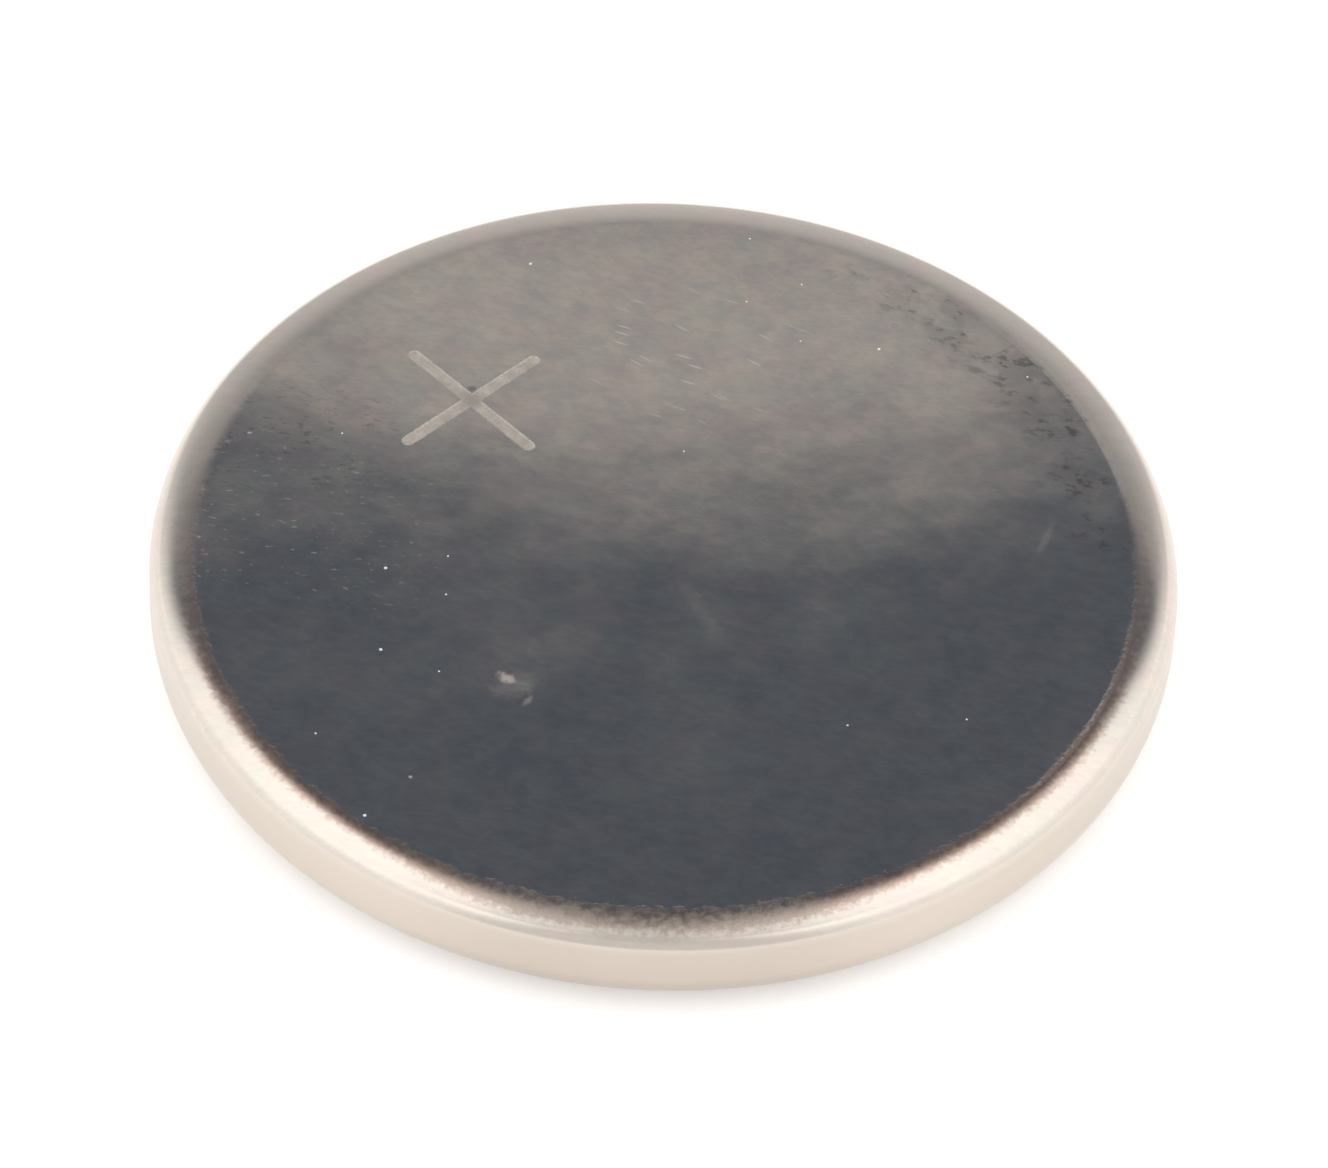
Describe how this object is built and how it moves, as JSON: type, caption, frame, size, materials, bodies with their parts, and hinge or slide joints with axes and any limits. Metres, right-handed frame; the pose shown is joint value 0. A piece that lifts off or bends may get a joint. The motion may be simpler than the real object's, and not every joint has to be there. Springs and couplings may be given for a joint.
{
  "type": "lithium coin cell",
  "caption": "Flat round cell: a steel cup with a rounded rim, crimped over a plastic ring and a shallow cap, with its pellets and separator inside.",
  "frame": {"origin": "middle of the negative cap's outer face, on the surface that the cell lies on", "axes": "+Z runs along the cell's axis, from the negative cap to the can's flat positive face"},
  "size_m": [0.016, 0.016, 0.0016],
  "materials": {
    "can": "nickel-plated steel, near mirror, fine rolling marks",
    "gasket": "moulded polypropylene, satin",
    "cap": "nickel-plated steel, satin",
    "collector": "expanded steel grid, dull",
    "positive_mix": "pressed powder pellet, matte",
    "separator": "non-woven polypropylene",
    "negative_mix": "pressed powder pellet, matte"
  },
  "bodies": {
    "root": {"positive_can": "can", "gasket": "gasket", "negative_cap": "cap", "positive_collector": "collector", "positive_electrode": "positive_mix", "separator": "separator", "negative_electrode": "negative_mix"}
  },
  "joints": []
}
